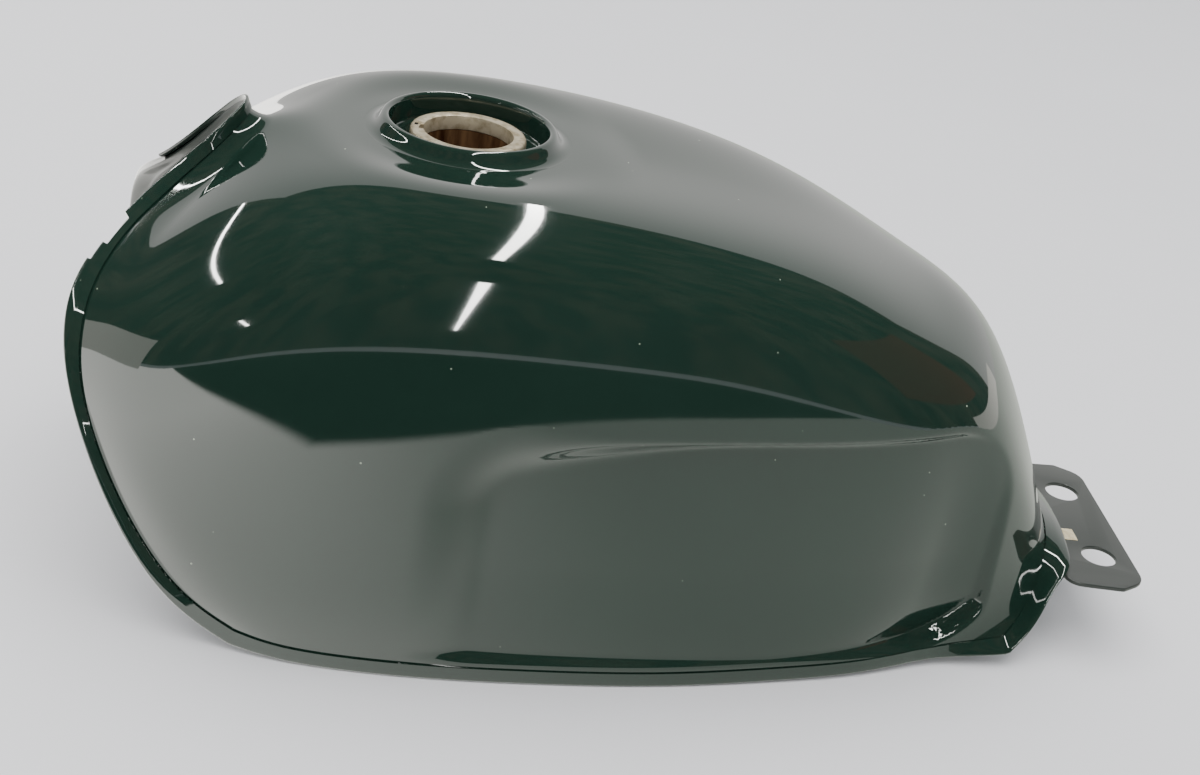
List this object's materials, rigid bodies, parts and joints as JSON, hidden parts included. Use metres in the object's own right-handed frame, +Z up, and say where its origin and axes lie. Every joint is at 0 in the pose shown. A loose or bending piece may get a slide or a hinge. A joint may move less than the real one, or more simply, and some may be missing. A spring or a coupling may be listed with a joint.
{
  "type": "motorcycle fuel tank",
  "caption": "Pressed steel motorcycle fuel tank with knee recesses, recessed filler, frame tunnel and a rear mounting plate; no cap or tap fitted.",
  "frame": {"origin": "middle of the length and width, on the level of the lowest edge of the welded seam", "axes": "+X forward, +Y to the rider's left, +Z up"},
  "size_m": [0.6382, 0.3192, 0.265],
  "materials": {
    "paint": "deep green gloss with clear coat",
    "bare_steel": "unpainted, satin",
    "raw_neck": "raw, brownish, ribbed",
    "label": "matt, blank"
  },
  "bodies": {
    "root": {"outer_shell": "paint", "inner_shell": "paint", "seam_flange": "paint", "filler_dish": "paint", "filler_collar": "bare_steel", "neck_tube": "raw_neck", "rear_bracket": "paint", "bracket_doubler": "paint", "bracket_label": "label", "tap_boss": "paint", "drain_pipe": "bare_steel", "vent_pipe": "bare_steel", "drain_spigot": "bare_steel", "vent_spigot": "bare_steel", "crossover_spigot_left": "bare_steel", "crossover_spigot_right": "bare_steel", "front_cup_left": "paint", "front_cup_right": "paint", "cup_bracket_left": "paint", "cup_bracket_right": "paint", "baffle_front": "bare_steel", "baffle_rear": "bare_steel"}
  },
  "joints": []
}
